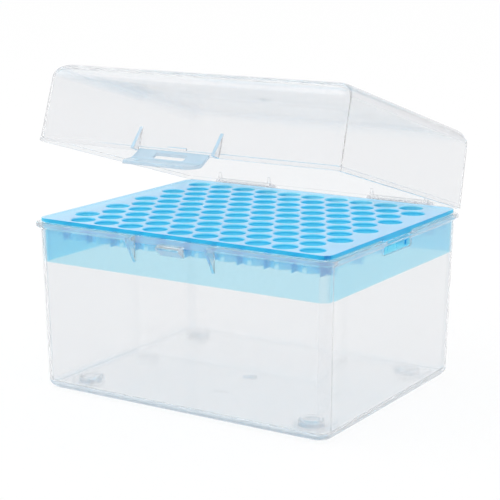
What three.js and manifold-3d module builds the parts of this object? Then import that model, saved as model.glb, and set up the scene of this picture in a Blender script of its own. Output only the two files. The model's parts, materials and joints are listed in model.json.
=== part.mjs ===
// Box for pipette tips: an open moulded base, a rack plate with staggered holes that drops into
// it, and a hinged lid that stands partly open. Millimetres, +Z up, +X along the latch side,
// the latch at -Y and the hinge at +Y. The origin is the middle of the base's underside.
import * as THREE from 'three';
import { mergeVertices } from 'three/addons/utils/BufferGeometryUtils.js';
import Module from 'manifold-3d';

const wasm = await Module();
wasm.setup();

// Rack: hole pattern, plate, ribs, rim and skirt
const HOLE_COLUMNS = 10;
const HOLE_ROWS = 10;
const HOLE_PITCH = 10.0;
const HOLE_DIAMETER = 8.2;
const HOLE_SIDES = 12;
const COLLAR_WALL = 0.65;
const COLLAR_DEPTH = 6.4;
const RIB_THICKNESS = 0.9;
const RIB_DEPTH = 6.9;
const RIB_REACH = 1.0;
const SIDE_MARGIN = 3.32;
const FRONT_MARGIN = 0.67;
const SKIRT_WALL = 1.1;
const SKIRT_DEPTH = 15.0;
const SKIRT_CORNER = 3.0;
const SKIRT_TAPER = 0.02;
const PLATE_THICKNESS = 1.0;
const RIM_THICKNESS = 1.0;
const RIM_INSET = 0.3;
const RIM_CORNER = 3.4;
const LIP_HEIGHT = 0.3;
const LIP_WIDTH = 1.0;
const LIP_SLOPE = 0.6;

// Snap on each short side: a lug under the rim and a bar in the wall's window
const LUG_LENGTH = 20.6;
const LUG_DROP = 0.8;
const SNAP_LENGTH = 19.0;
const SNAP_HEIGHT = 2.1;
const SNAP_TOP_BELOW_RIM = 2.9;
const SNAP_REACH = 0.7;
const WINDOW_GAP = 0.45;

// Base: an open box with a flange round its mouth
const BASE_HEIGHT = 58.9;
const BASE_WALL = 1.0;
const BASE_FLOOR = 1.6;
const BASE_TAPER = 0.0185;
const BASE_CORNER = 4.0;
const FOOT_RADIUS = 3.1;
const FLANGE_OVERHANG = 1.5;
const FLANGE_CORNER = 5.2;
const FLANGE_HEIGHT = 1.2;
const FLANGE_SLOPE = 1.0;
const FOOT_BOSS_DIAMETER = 9.0;
const FOOT_BOSS_HEIGHT = 2.2;
const FOOT_RECESS_DIAMETER = 6.2;
const FOOT_RECESS_DEPTH = 2.4;
const FOOT_BOSS_INSET = 12.8;
const GATE_DIAMETER = 7.2;
const GATE_HEIGHT = 0.5;

// Lid: a shallow tapered cap
const LID_HEIGHT = 27.5;
const LID_WALL = 0.9;
const LID_TOP = 1.2;
const LID_TAPER = 0.0258;
const LID_CORNER = 2.3;
const LID_EDGE_RADIUS = 5.2;
const LID_BEAD = 0.15;
const LID_BEAD_HEIGHT = 1.3;
const LID_OPEN_ANGLE = 16.4;

// Latch: a slotted tab on the lid over a catch on the base, between two gussets on each
const LATCH_GUSSET_X = 15.6;
const LATCH_GUSSET_SHIFT = -0.45;
const GUSSET_THICKNESS = 1.2;
const LID_GUSSET_REACH = 3.6;
const LID_GUSSET_HEIGHT = 8.0;
const LID_GUSSET_LIFT = 0.2;
const BASE_GUSSET_REACH = 4.2;
const BASE_GUSSET_HEIGHT = 8.9;
const TAB_ROOM_RIGHT = 2.5;
const TAB_THICKNESS = 1.1;
const TAB_ROOT_THICKNESS = 0.9;
const TAB_KNEE_THICKNESS = 1.3;
const TAB_KNEE_OUT = 3.8;
const TAB_KNEE_DOWN = 3.9;
const TAB_TIP_OUT = 9.4;
const TAB_TIP_DOWN = 5.6;
const TAB_LEFT_CORNER = 1.4;
const TAB_RIGHT_CORNER = 4.8;
const SLOT_LENGTH = 12.2;
const SLOT_NEAR = 1.2;
const SLOT_WIDTH = 2.4;
const CATCH_SHIFT = 0.85;
const CATCH_WIDTH = 9.0;
const CATCH_REACH = 3.3;
const CATCH_TOP_BELOW_FLANGE = 1.6;
const CATCH_HEIGHT = 3.8;
const CATCH_NOSE = 1.2;

// Hinge: rods on the base held in C clips on the lid, one pair each side of the middle
const HINGE_CLEARANCE = 0.35;
const HINGE_BELOW_FLANGE = 0.25;
const ROD_RADIUS = 1.2;
const ROD_CLEARANCE = 0.35;
const CLIP_WALL = 0.9;
const CLIP_START = 165;
const CLIP_END = -46;
const CLIP_TAIL_REACH = 3.4;
const CLIP_TAIL_END = -70;
const CLIP_ARM_TOP = 114;
const CLIP_INNER_X = 22.0;
const CLIP_OUTER_X = 44.0;
const EAR_THICKNESS = 1.1;
const EAR_RADIUS = 2.1;
const EAR_DROP = 5.6;
const HINGE_GUSSET_HEIGHT = 3.9;

const FIT_GAP = 0.3;
const SKIRT_CLEARANCE = 0.3;
const LID_CLEARANCE = 0.4;
const OVERCUT = 1.0;
const OVERLAP = 0.1;
const CORNER_STEPS = 4;
const EDGE_STEPS = 6;
const ROUND_SIDES = 16;
const MERGE_DISTANCE = 1e-5;

// Sizes that follow from the ones above
const rowPitch = HOLE_PITCH * Math.sqrt(3) / 2;
const collarRadius = HOLE_DIAMETER / 2 + COLLAR_WALL;
const skirtInnerWidth = (HOLE_COLUMNS - 0.5) * HOLE_PITCH + HOLE_DIAMETER + 2 * SIDE_MARGIN;
const skirtInnerDepth = (HOLE_ROWS - 1) * rowPitch + HOLE_DIAMETER + 2 * FRONT_MARGIN;
const skirtWidth = skirtInnerWidth + 2 * SKIRT_WALL;
const skirtDepth = skirtInnerDepth + 2 * SKIRT_WALL;
const baseWidth = skirtWidth + 2 * (SKIRT_CLEARANCE + BASE_WALL);
const baseDepth = skirtDepth + 2 * (SKIRT_CLEARANCE + BASE_WALL);
const rimWidth = baseWidth - 2 * RIM_INSET;
const rimDepth = baseDepth - 2 * RIM_INSET;
const lidWidth = rimWidth + 2 * (LID_CLEARANCE + LID_WALL);
const lidDepth = rimDepth + 2 * (LID_CLEARANCE + LID_WALL);
const rimBottom = BASE_HEIGHT + FIT_GAP;
const plateTop = rimBottom + RIM_THICKNESS;
const lidRimZ = BASE_HEIGHT + FIT_GAP;
const latchWallY = -lidDepth / 2;
const baseWallY = -baseDepth / 2;
const hingeZ = BASE_HEIGHT - HINGE_BELOW_FLANGE;
const clipInnerRadius = ROD_RADIUS + ROD_CLEARANCE;
const clipOuterRadius = clipInnerRadius + CLIP_WALL;
const hingeY = lidDepth / 2 + clipOuterRadius + HINGE_CLEARANCE;
const halfGusset = GUSSET_THICKNESS / 2;
const leftGussetX = LATCH_GUSSET_SHIFT - LATCH_GUSSET_X;
const rightGussetX = LATCH_GUSSET_SHIFT + LATCH_GUSSET_X;
const tabLeft = leftGussetX + halfGusset + FIT_GAP;
const tabRight = rightGussetX - halfGusset - TAB_ROOM_RIGHT;
const tabMiddle = (tabLeft + tabRight) / 2;
const clipGap = halfGusset + FIT_GAP;

// ---------- shared shape helpers ----------

// One level of a tapered box: a rounded rectangle as a ring of points, counterclockwise from above.
function ring(width, depth, corner, z) {
  const points = [];
  const radius = Math.max(corner, MERGE_DISTANCE);
  const centres = [[1, 1], [-1, 1], [-1, -1], [1, -1]];
  centres.forEach(([sx, sy], quarter) => {
    for (let step = 0; step <= CORNER_STEPS; step += 1) {
      const angle = (quarter + step / CORNER_STEPS) * Math.PI / 2;
      const x = sx * (width / 2 - radius) + radius * Math.cos(angle);
      const y = sy * (depth / 2 - radius) + radius * Math.sin(angle);
      points.push(new THREE.Vector3(x, y, z));
    }
  });
  return points;
}

// A solid through a list of rings, closed by a fan over the first ring and one over the last.
function loft(rings) {
  const count = rings[0].length;
  const positions = rings.flat().flatMap((point) => [point.x, point.y, point.z]);
  positions.push(0, 0, rings[0][0].z, 0, 0, rings.at(-1)[0].z);
  const firstCentre = rings.length * count;
  const lastStart = (rings.length - 1) * count;
  const faces = [];
  for (let j = 0; j < count; j += 1) {
    const next = (j + 1) % count;
    faces.push(firstCentre, next, j);
    faces.push(firstCentre + 1, lastStart + j, lastStart + next);
    for (let start = 0; start < lastStart; start += count) {
      faces.push(start + j, start + next, start + count + next);
      faces.push(start + j, start + count + next, start + count + j);
    }
  }
  const geometry = new THREE.BufferGeometry();
  geometry.setAttribute('position', new THREE.Float32BufferAttribute(positions, 3));
  geometry.setIndex(faces);
  return geometry;
}

// A three.js geometry as a solid that can be joined and cut.
function solid(geometry) {
  const bare = geometry.clone();
  bare.deleteAttribute('normal');
  bare.deleteAttribute('uv');
  const merged = mergeVertices(bare, MERGE_DISTANCE);
  const vertProperties = new Float32Array(merged.attributes.position.array);
  const triVerts = new Uint32Array(merged.index.array);
  const mesh = new wasm.Mesh({ numProp: 3, vertProperties, triVerts });
  mesh.merge();
  return new wasm.Manifold(mesh);
}

// A solid back as a three.js geometry.
function geometryOf(shape) {
  const mesh = shape.getMesh();
  const geometry = new THREE.BufferGeometry();
  geometry.setAttribute('position', new THREE.BufferAttribute(mesh.vertProperties, 3));
  geometry.setIndex(new THREE.BufferAttribute(mesh.triVerts, 1));
  return geometry;
}

function joined(start, pieces) {
  return pieces.reduce((whole, piece) => whole.add(piece), start);
}

function without(start, pieces) {
  return pieces.reduce((whole, piece) => whole.subtract(piece), start);
}

function polygon(points) {
  return new THREE.Shape(points.map(([across, up]) => new THREE.Vector2(across, up)));
}

// A (y, z) outline drawn out along X, from one x to the other.
function slabAlongX(outline, fromX, toX) {
  const settings = { depth: toX - fromX, bevelEnabled: false, curveSegments: CORNER_STEPS };
  const geometry = new THREE.ExtrudeGeometry(outline, settings);
  geometry.rotateY(Math.PI / 2);
  geometry.rotateX(Math.PI / 2);
  geometry.translate(fromX, 0, 0);
  return solid(geometry);
}

// An (x, y) outline drawn up along Z, from one z to the other.
function slabAlongZ(outline, fromZ, toZ) {
  const settings = { depth: toZ - fromZ, bevelEnabled: false, curveSegments: CORNER_STEPS };
  const geometry = new THREE.ExtrudeGeometry(outline, settings);
  geometry.translate(0, 0, fromZ);
  return solid(geometry);
}

function box(low, high) {
  const [width, depth, height] = high.map((value, axis) => value - low[axis]);
  const geometry = new THREE.BoxGeometry(width, depth, height);
  geometry.translate(low[0] + width / 2, low[1] + depth / 2, low[2] + height / 2);
  return solid(geometry);
}

// An upright post between two heights.
function post(x, y, radius, fromZ, toZ, sides) {
  const geometry = new THREE.CylinderGeometry(radius, radius, toZ - fromZ, sides);
  geometry.rotateX(Math.PI / 2);
  geometry.translate(x, y, (fromZ + toZ) / 2);
  return solid(geometry);
}

// The same list of solids mirrored to the other side of the middle plane x = 0.
function bothSides(make) {
  return [1, -1].flatMap((side) => make(side));
}

function span(side, near, far) {
  return side > 0 ? [near, far] : [-far, -near];
}

// ---------- base ----------

function baseOuterRing(z, inset) {
  const lean = 2 * BASE_TAPER * Math.max(BASE_HEIGHT - z, 0) + 2 * inset;
  return ring(baseWidth - lean, baseDepth - lean, BASE_CORNER, z);
}

function baseInnerRing(z, inset) {
  const lean = 2 * BASE_TAPER * Math.max(BASE_HEIGHT - z, 0) + 2 * (BASE_WALL + inset);
  return ring(baseWidth - lean, baseDepth - lean, BASE_CORNER - BASE_WALL, z);
}

// Rings round a quarter circle that joins a wall to a flat at height z.
function edgeRings(makeRing, flatZ, radius, towards) {
  const rings = [];
  for (let step = 0; step <= EDGE_STEPS; step += 1) {
    const angle = (step / EDGE_STEPS) * Math.PI / 2;
    const z = flatZ + towards * radius * (1 - Math.cos(angle));
    rings.push(makeRing(z, radius * (1 - Math.sin(angle))));
  }
  return rings;
}

function baseShell() {
  const flangeWidth = baseWidth + 2 * FLANGE_OVERHANG;
  const flangeDepth = baseDepth + 2 * FLANGE_OVERHANG;
  const flangeBottom = BASE_HEIGHT - FLANGE_HEIGHT;
  const innerFoot = FOOT_RADIUS - BASE_WALL;
  const rings = [
    ...edgeRings(baseOuterRing, 0, FOOT_RADIUS, 1),
    baseOuterRing(flangeBottom - FLANGE_SLOPE, 0),
    ring(flangeWidth, flangeDepth, FLANGE_CORNER, flangeBottom),
    ring(flangeWidth, flangeDepth, FLANGE_CORNER, BASE_HEIGHT),
    baseInnerRing(BASE_HEIGHT, 0),
    ...edgeRings(baseInnerRing, BASE_FLOOR, innerFoot, 1).reverse(),
  ];
  return solid(loft(rings));
}

function footPlaces() {
  const x = baseWidth / 2 - FOOT_BOSS_INSET;
  const y = baseDepth / 2 - FOOT_BOSS_INSET;
  return [[x, y], [-x, y], [-x, -y], [x, -y]];
}

function baseGussets() {
  const outline = polygon([
    [baseWallY + BASE_WALL / 2, BASE_HEIGHT],
    [baseWallY + BASE_WALL / 2, BASE_HEIGHT - BASE_GUSSET_HEIGHT],
    [baseWallY, BASE_HEIGHT - BASE_GUSSET_HEIGHT],
    [baseWallY - BASE_GUSSET_REACH, BASE_HEIGHT - FLANGE_HEIGHT],
    [baseWallY - BASE_GUSSET_REACH, BASE_HEIGHT],
  ]);
  return [leftGussetX, rightGussetX].map((x) => (
    slabAlongX(outline, x - halfGusset, x + halfGusset)
  ));
}

function catchNub() {
  const top = BASE_HEIGHT - CATCH_TOP_BELOW_FLANGE;
  const nose = baseWallY - CATCH_REACH;
  const outline = polygon([
    [baseWallY + BASE_WALL / 2, top],
    [baseWallY + BASE_WALL / 2, top - CATCH_HEIGHT],
    [baseWallY, top - CATCH_HEIGHT],
    [nose, top - CATCH_NOSE],
    [nose, top - CATCH_NOSE / 2],
    [nose + CATCH_NOSE, top],
  ]);
  const middle = tabMiddle + CATCH_SHIFT;
  return slabAlongX(outline, middle - CATCH_WIDTH / 2, middle + CATCH_WIDTH / 2);
}

// One ear: a web from the wall that ends in a round eye about the hinge axis.
function earOutline() {
  const wallY = baseDepth / 2 - BASE_WALL / 2;
  const under = EAR_RADIUS * Math.SQRT1_2;
  const outline = new THREE.Shape();
  outline.moveTo(wallY, hingeZ);
  outline.lineTo(wallY, hingeZ - EAR_DROP);
  outline.lineTo(hingeY + under, hingeZ - under);
  outline.absarc(hingeY, hingeZ, EAR_RADIUS, -Math.PI / 4, Math.PI, false);
  return outline;
}

function hingeEars() {
  const inner = CLIP_INNER_X - clipGap;
  const outer = CLIP_OUTER_X + clipGap;
  return bothSides((side) => [
    slabAlongX(earOutline(), ...span(side, inner - EAR_THICKNESS, inner)),
    slabAlongX(earOutline(), ...span(side, outer, outer + EAR_THICKNESS)),
  ]);
}

function hingeRods() {
  const length = CLIP_OUTER_X - CLIP_INNER_X + 2 * clipGap + EAR_THICKNESS;
  const middle = (CLIP_OUTER_X + CLIP_INNER_X) / 2;
  return bothSides((side) => {
    const geometry = new THREE.CylinderGeometry(ROD_RADIUS, ROD_RADIUS, length, ROUND_SIDES);
    geometry.rotateZ(Math.PI / 2);
    geometry.translate(side * middle, hingeY, hingeZ);
    return [solid(geometry)];
  });
}

// Room cut out of the flange: behind the lid's tab, and round each clip.
function flangeCuts() {
  const low = BASE_HEIGHT - FLANGE_HEIGHT - 2 * FLANGE_SLOPE;
  const high = BASE_HEIGHT + OVERCUT;
  const outward = baseDepth / 2 + 2 * FLANGE_OVERHANG;
  const frontLeft = leftGussetX + halfGusset;
  const frontRight = rightGussetX - halfGusset;
  const front = box([frontLeft, -outward, low], [frontRight, -baseDepth / 2, high]);
  const back = bothSides((side) => {
    const [from, to] = span(side, CLIP_INNER_X - clipGap, CLIP_OUTER_X + clipGap);
    return [box([from, baseDepth / 2, low], [to, outward, high])];
  });
  return [front, ...back];
}

// The window in each short wall and the notch above it for the rim's lug.
function sideCuts() {
  const windowTop = rimBottom - SNAP_TOP_BELOW_RIM + WINDOW_GAP;
  const windowBottom = windowTop - SNAP_HEIGHT - 2 * WINDOW_GAP;
  const windowHalf = SNAP_LENGTH / 2 + WINDOW_GAP;
  const notchBottom = rimBottom - LUG_DROP - FIT_GAP;
  const notchHalf = LUG_LENGTH / 2 + FIT_GAP;
  const inside = baseWidth / 2 - BASE_WALL - OVERCUT;
  const outside = baseWidth / 2 + FLANGE_OVERHANG + OVERCUT;
  return bothSides((side) => {
    const [from, to] = span(side, inside, outside);
    return [
      box([from, -windowHalf, windowBottom], [to, windowHalf, windowTop]),
      box([from, -notchHalf, notchBottom], [to, notchHalf, BASE_HEIGHT + OVERCUT]),
    ];
  });
}

function baseBox() {
  const bosses = footPlaces().map(([x, y]) => (
    post(x, y, FOOT_BOSS_DIAMETER / 2, BASE_FLOOR / 2, BASE_FLOOR + FOOT_BOSS_HEIGHT, ROUND_SIDES)
  ));
  const recesses = footPlaces().map(([x, y]) => (
    post(x, y, FOOT_RECESS_DIAMETER / 2, -OVERCUT, FOOT_RECESS_DEPTH, ROUND_SIDES)
  ));
  const gate = post(0, 0, GATE_DIAMETER / 2, BASE_FLOOR / 2, BASE_FLOOR + GATE_HEIGHT, ROUND_SIDES);
  const cutShell = without(baseShell(), [...flangeCuts(), ...sideCuts()]);
  const details = [...bosses, gate, ...baseGussets(), catchNub(), ...hingeEars(), ...hingeRods()];
  return without(joined(cutShell, details), recesses);
}

// ---------- rack ----------

function rowStagger(row) {
  return row % 2 === 0 ? 0.5 : 0;
}

function rowPlace(row) {
  return (row - (HOLE_ROWS - 1) / 2) * rowPitch;
}

function holeX(row, column) {
  return (column + rowStagger(row) - (HOLE_COLUMNS - 0.5) / 2) * HOLE_PITCH;
}

function holePlaces() {
  const places = [];
  for (let row = 0; row < HOLE_ROWS; row += 1) {
    for (let column = 0; column < HOLE_COLUMNS; column += 1) {
      places.push([holeX(row, column), rowPlace(row)]);
    }
  }
  return places;
}

function rackShell() {
  const plateBottom = plateTop - PLATE_THICKNESS;
  const skirtBottom = plateTop - SKIRT_DEPTH;
  const taper = 2 * SKIRT_TAPER * (plateBottom - skirtBottom);
  const innerCorner = SKIRT_CORNER - SKIRT_WALL;
  const lipTop = plateTop + LIP_HEIGHT;
  const lipIn = 2 * LIP_WIDTH;
  const slopeIn = 2 * (LIP_WIDTH + LIP_SLOPE);
  const rings = [
    ring(skirtInnerWidth, skirtInnerDepth, innerCorner, plateBottom),
    ring(skirtInnerWidth - taper, skirtInnerDepth - taper, innerCorner, skirtBottom),
    ring(skirtWidth - taper, skirtDepth - taper, SKIRT_CORNER, skirtBottom),
    ring(skirtWidth, skirtDepth, SKIRT_CORNER, rimBottom),
    ring(rimWidth, rimDepth, RIM_CORNER, rimBottom),
    ring(rimWidth, rimDepth, RIM_CORNER, lipTop),
    ring(rimWidth - lipIn, rimDepth - lipIn, RIM_CORNER - LIP_WIDTH, lipTop),
    ring(rimWidth - slopeIn, rimDepth - slopeIn, RIM_CORNER - LIP_WIDTH - LIP_SLOPE, plateTop),
  ];
  return solid(loft(rings));
}

// On each short side, the rim's lug and the snap bar that sits in the wall's window.
function rackSnaps() {
  const snapTop = rimBottom - SNAP_TOP_BELOW_RIM;
  const lugBottom = rimBottom - LUG_DROP;
  const lugTop = plateTop - RIM_THICKNESS / 2;
  const skirtMiddle = skirtWidth / 2 - SKIRT_WALL / 2;
  const barEnd = skirtWidth / 2 + SKIRT_CLEARANCE + SNAP_REACH;
  return bothSides((side) => {
    const [lugFrom, lugTo] = span(side, skirtMiddle, rimWidth / 2);
    const [barFrom, barTo] = span(side, skirtMiddle, barEnd);
    return [
      box([lugFrom, -LUG_LENGTH / 2, lugBottom], [lugTo, LUG_LENGTH / 2, lugTop]),
      box([barFrom, -SNAP_LENGTH / 2, snapTop - SNAP_HEIGHT], [barTo, SNAP_LENGTH / 2, snapTop]),
    ];
  });
}

// The upright ribs from the skirt to the outermost collars. Along the front and back they stand
// between the collars, and along the sides they meet each row's end collar where it lies near.
function rackRibs() {
  const half = RIB_THICKNESS / 2;
  const low = plateTop - RIB_DEPTH;
  const high = plateTop - PLATE_THICKNESS / 2;
  const skirtX = skirtInnerWidth / 2 + SKIRT_WALL / 2;
  const skirtY = skirtInnerDepth / 2 + SKIRT_WALL / 2;
  const endX = (HOLE_COLUMNS - 0.5) * HOLE_PITCH / 2 + HOLE_DIAMETER / 2;
  const ribs = [];
  for (let row = 0; row < HOLE_ROWS; row += 1) {
    const [from, to] = span(rowStagger(row) > 0 ? 1 : -1, endX, skirtX);
    ribs.push(box([from, rowPlace(row) - half, low], [to, rowPlace(row) + half, high]));
  }
  [0, HOLE_ROWS - 1].forEach((row) => {
    const [from, to] = span(row > 0 ? 1 : -1, Math.abs(rowPlace(row)) + RIB_REACH, skirtY);
    for (let column = 0; column <= HOLE_COLUMNS; column += 1) {
      const x = holeX(row, column) - HOLE_PITCH / 2;
      ribs.push(box([x - half, from, low], [x + half, to, high]));
    }
  });
  return ribs;
}

function tipRack() {
  const bottom = plateTop - COLLAR_DEPTH;
  const places = holePlaces();
  const collars = places.map(([x, y]) => (
    post(x, y, collarRadius, bottom, plateTop - PLATE_THICKNESS / 2, HOLE_SIDES)
  ));
  const holes = places.map(([x, y]) => (
    post(x, y, HOLE_DIAMETER / 2, bottom - OVERCUT, plateTop + OVERCUT, HOLE_SIDES)
  ));
  return without(joined(rackShell(), [...rackSnaps(), ...rackRibs(), ...collars]), holes);
}

// ---------- lid, drawn shut ----------

function lidOuterRing(z, inset) {
  const lean = 2 * LID_TAPER * (z - lidRimZ) + 2 * inset;
  return ring(lidWidth - lean, lidDepth - lean, LID_CORNER, z);
}

function lidInnerRing(z, inset) {
  const lean = 2 * LID_TAPER * (z - lidRimZ) + 2 * (LID_WALL + inset);
  return ring(lidWidth - lean, lidDepth - lean, LID_CORNER - LID_WALL, z);
}

function lidShell() {
  const top = lidRimZ + LID_HEIGHT;
  const beadTop = lidRimZ + LID_BEAD_HEIGHT;
  const rings = [
    ...edgeRings(lidInnerRing, top - LID_TOP, LID_EDGE_RADIUS - LID_WALL, -1),
    lidInnerRing(lidRimZ, 0),
    lidOuterRing(lidRimZ, -LID_BEAD),
    lidOuterRing(beadTop, -LID_BEAD),
    lidOuterRing(beadTop + LID_BEAD, 0),
    ...edgeRings(lidOuterRing, top, LID_EDGE_RADIUS, -1).reverse(),
  ];
  return solid(loft(rings));
}

function lidGussets() {
  const wallMiddle = latchWallY + LID_WALL / 2;
  const outline = polygon([
    [wallMiddle, lidRimZ],
    [latchWallY, lidRimZ],
    [latchWallY - LID_GUSSET_REACH, lidRimZ + LID_GUSSET_LIFT],
    [latchWallY + LID_TAPER * LID_GUSSET_HEIGHT, lidRimZ + LID_GUSSET_HEIGHT],
    [wallMiddle, lidRimZ + LID_GUSSET_HEIGHT],
  ]);
  return [leftGussetX, rightGussetX].map((x) => (
    slabAlongX(outline, x - halfGusset, x + halfGusset)
  ));
}

// The tab's side view: a strip that slopes out and down from the rim, bent at a knee.
function tabOutline() {
  const start = latchWallY + LID_WALL / 2;
  const knee = latchWallY - TAB_KNEE_OUT;
  const tip = latchWallY - TAB_TIP_OUT;
  return polygon([
    [start, lidRimZ],
    [latchWallY, lidRimZ],
    [knee, lidRimZ - TAB_KNEE_DOWN],
    [tip, lidRimZ - TAB_TIP_DOWN],
    [tip, lidRimZ - TAB_TIP_DOWN + TAB_THICKNESS],
    [knee, lidRimZ - TAB_KNEE_DOWN + TAB_KNEE_THICKNESS],
    [latchWallY, lidRimZ + TAB_ROOT_THICKNESS],
    [start, lidRimZ + TAB_ROOT_THICKNESS],
  ]);
}

// The tab's plan: straight at the rim, with round outer corners.
function tabPlan() {
  const tip = latchWallY - TAB_TIP_OUT;
  const leftRoundX = tabLeft + TAB_LEFT_CORNER;
  const leftRoundY = tip + TAB_LEFT_CORNER;
  const rightRoundX = tabRight - TAB_RIGHT_CORNER;
  const rightRoundY = tip + TAB_RIGHT_CORNER;
  const outline = new THREE.Shape();
  outline.moveTo(tabRight, latchWallY + LID_WALL);
  outline.lineTo(tabLeft, latchWallY + LID_WALL);
  outline.absarc(leftRoundX, leftRoundY, TAB_LEFT_CORNER, Math.PI, 1.5 * Math.PI, false);
  outline.absarc(rightRoundX, rightRoundY, TAB_RIGHT_CORNER, 1.5 * Math.PI, 2 * Math.PI, false);
  return outline;
}

function latchTab() {
  const low = lidRimZ - TAB_TIP_DOWN - OVERCUT;
  const high = lidRimZ + TAB_ROOT_THICKNESS + OVERCUT;
  const strip = slabAlongX(tabOutline(), tabLeft, tabRight);
  const trimmed = strip.intersect(slabAlongZ(tabPlan(), low, high));
  const near = latchWallY - SLOT_NEAR;
  const slotLeft = tabMiddle - SLOT_LENGTH / 2;
  const slotRight = tabMiddle + SLOT_LENGTH / 2;
  const slot = box([slotLeft, near - SLOT_WIDTH, low], [slotRight, near, high]);
  return trimmed.subtract(slot);
}

// The clip's side view: most of a ring about the hinge axis, ending in a tail that stops the lid.
function clipOutline() {
  const start = THREE.MathUtils.degToRad(CLIP_START);
  const end = THREE.MathUtils.degToRad(CLIP_END);
  const tail = THREE.MathUtils.degToRad(CLIP_TAIL_END);
  const outline = new THREE.Shape();
  outline.absarc(hingeY, hingeZ, clipOuterRadius, start, end, true);
  outline.absarc(hingeY, hingeZ, CLIP_TAIL_REACH, (end + tail) / 2, tail, true);
  outline.absarc(hingeY, hingeZ, clipInnerRadius, tail, start, false);
  return outline;
}

// The arm from the lid's back wall to the top of the clip.
function clipArm(height) {
  const wallMiddle = lidDepth / 2 - LID_WALL / 2;
  const reach = clipInnerRadius + OVERLAP;
  const foot = hingeY - Math.sqrt(reach ** 2 - (lidRimZ - hingeZ) ** 2);
  const top = THREE.MathUtils.degToRad(CLIP_ARM_TOP);
  const topRadius = clipOuterRadius - OVERLAP;
  return polygon([
    [wallMiddle, lidRimZ],
    [foot, lidRimZ],
    [hingeY + topRadius * Math.cos(top), hingeZ + topRadius * Math.sin(top)],
    [lidDepth / 2, lidRimZ + height],
    [wallMiddle, lidRimZ + height],
  ]);
}

function hingeClips() {
  return bothSides((side) => {
    const full = span(side, CLIP_INNER_X - halfGusset, CLIP_OUTER_X + halfGusset);
    const gussets = [CLIP_INNER_X, CLIP_OUTER_X].map((x) => (
      slabAlongX(clipArm(HINGE_GUSSET_HEIGHT), ...span(side, x - halfGusset, x + halfGusset))
    ));
    const arm = slabAlongX(clipArm(HINGE_GUSSET_HEIGHT / 2), ...full);
    return [slabAlongX(clipOutline(), ...full), arm, ...gussets];
  });
}

function lidCap() {
  const top = lidRimZ + LID_HEIGHT;
  const gateTop = top - LID_TOP / 2;
  const gateBottom = top - LID_TOP - GATE_HEIGHT;
  const gate = post(0, 0, GATE_DIAMETER / 2, gateBottom, gateTop, ROUND_SIDES);
  return joined(lidShell(), [gate, ...lidGussets(), latchTab(), ...hingeClips()]);
}

// ---------- the object ----------

function meshOf(name, shape, material) {
  const mesh = new THREE.Mesh(geometryOf(shape), material);
  mesh.name = name;
  return mesh;
}

function clearPlastic() {
  return new THREE.MeshStandardMaterial({
    color: 0xe9edf1, roughness: 0.35, metalness: 0, transparent: true, opacity: 0.35,
  });
}

function bluePlastic() {
  return new THREE.MeshStandardMaterial({ color: 0x4fb9ea, roughness: 0.4, metalness: 0 });
}

const tipBox = new THREE.Group();
tipBox.add(meshOf('base_box', baseBox(), clearPlastic()));
tipBox.add(meshOf('tip_rack', tipRack(), bluePlastic()));

const lidHinge = new THREE.Group();
lidHinge.position.set(0, hingeY, hingeZ);
lidHinge.rotation.x = -THREE.MathUtils.degToRad(LID_OPEN_ANGLE);
const lid = meshOf('lid', lidCap(), clearPlastic());
lid.geometry.translate(0, -hingeY, -hingeZ);
lidHinge.add(lid);
tipBox.add(lidHinge);

export default tipBox;
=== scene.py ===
import json
import math

import bpy
import numpy as np
from bpy.props import FloatProperty, FloatVectorProperty, IntProperty, PointerProperty
from mathutils import Matrix, Vector


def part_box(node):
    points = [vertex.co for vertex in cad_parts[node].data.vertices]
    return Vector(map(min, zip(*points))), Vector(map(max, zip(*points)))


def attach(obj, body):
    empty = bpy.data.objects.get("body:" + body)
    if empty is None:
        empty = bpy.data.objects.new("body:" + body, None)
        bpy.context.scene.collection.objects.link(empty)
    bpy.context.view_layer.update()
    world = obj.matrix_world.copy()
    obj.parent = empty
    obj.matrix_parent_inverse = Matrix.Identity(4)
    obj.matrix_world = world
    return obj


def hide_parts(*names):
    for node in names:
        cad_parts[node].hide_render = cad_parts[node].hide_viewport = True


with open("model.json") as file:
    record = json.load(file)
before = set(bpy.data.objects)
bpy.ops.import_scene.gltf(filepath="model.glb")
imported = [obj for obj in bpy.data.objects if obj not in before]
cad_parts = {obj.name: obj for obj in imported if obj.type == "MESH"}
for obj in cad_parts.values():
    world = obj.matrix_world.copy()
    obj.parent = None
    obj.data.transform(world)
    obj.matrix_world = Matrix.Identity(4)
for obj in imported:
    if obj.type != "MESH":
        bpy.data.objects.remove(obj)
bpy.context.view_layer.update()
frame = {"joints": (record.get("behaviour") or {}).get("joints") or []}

bl_info = {
    "name": "Pipette tip box",
    "version": (1, 0, 0),
    "blender": (4, 5, 0),
    "location": "3D View > Sidebar > Tip Box",
    "description": "A clear hinged box with a blue rack for pipette tips",
    "category": "Add Mesh",
}

MM = 0.001
RACK_LOW, RACK_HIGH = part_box("tip_rack")
HINGE = frame["joints"][0]
HINGE_PLACE = Vector(HINGE["pos_m"])
LID_OPEN = math.radians(-min(HINGE["range_deg"]))
ROUND_SIDES = 40
SOFT_EDGE = 0.12 * MM
SOFT_ANGLE = math.radians(40)
SHARP_ANGLE = math.radians(35)
ROUNDED = 0.985
MARGIN = 0.1 * MM
CLEAR_IOR = 1.49
RIPPLES = 420
SCRATCH_STRENGTH = 0.5
RELIEF = 0.1 * MM
STAGE_HALF = 3
CAMERA_PLACE = (0.2761, -0.4378, 0.1620)
CAMERA_AIM = (-0.5209, 0.8257, -0.2164)
CAMERA_LENS = 109.6
LAMP_PLACE = (-0.6, -0.5, 1.2)
LAMP_AIM = (0.6, 0.5, -1.15)


# ---------- what a user would change ----------


def length(name, description, millimetres):
    """A length, given in millimetres and kept in metres."""
    return FloatProperty(
        name=name, description=description, default=millimetres * MM,
        subtype="DISTANCE", unit="LENGTH", precision=5,
    )


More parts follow.
